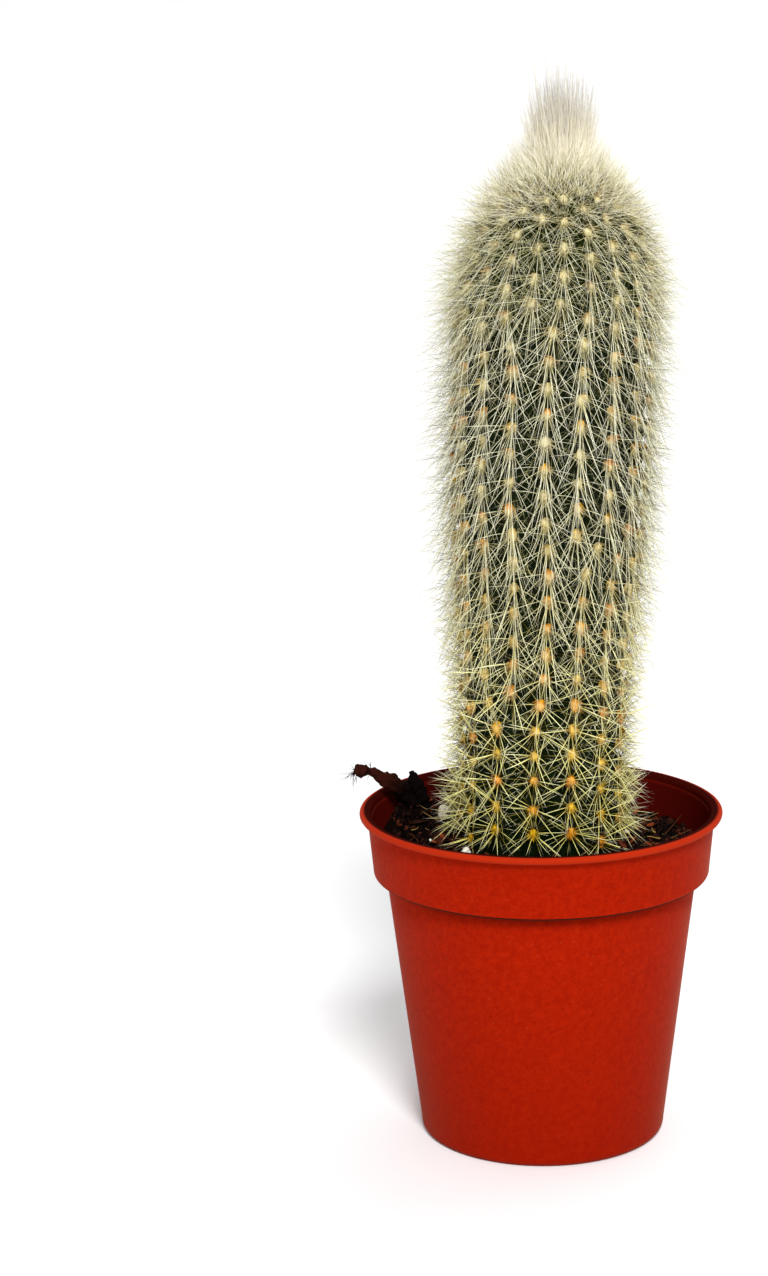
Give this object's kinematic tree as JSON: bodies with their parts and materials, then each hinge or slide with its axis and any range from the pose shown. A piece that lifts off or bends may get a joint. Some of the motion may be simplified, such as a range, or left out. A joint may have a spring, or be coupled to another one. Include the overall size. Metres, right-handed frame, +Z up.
{
  "type": "potted torch cactus",
  "caption": "Ribbed column cactus with dense pale spines and a bristle tuft, standing in soil in a tapered plastic nursery pot.",
  "frame": {"origin": "middle of the pot's underside, on the surface that the pot stands on", "axes": "+Z up through the pot, -Y towards the front, +X to the front's right"},
  "size_m": [0.1116, 0.105, 0.3077],
  "materials": {
    "pot_plastic": "satin",
    "potting_soil": "matte",
    "cactus_body": "matte",
    "dead_root": "matte"
  },
  "bodies": {
    "root": {"pot": "pot_plastic", "soil": "potting_soil", "cactus": "cactus_body", "root_fragment": "dead_root"}
  },
  "joints": []
}
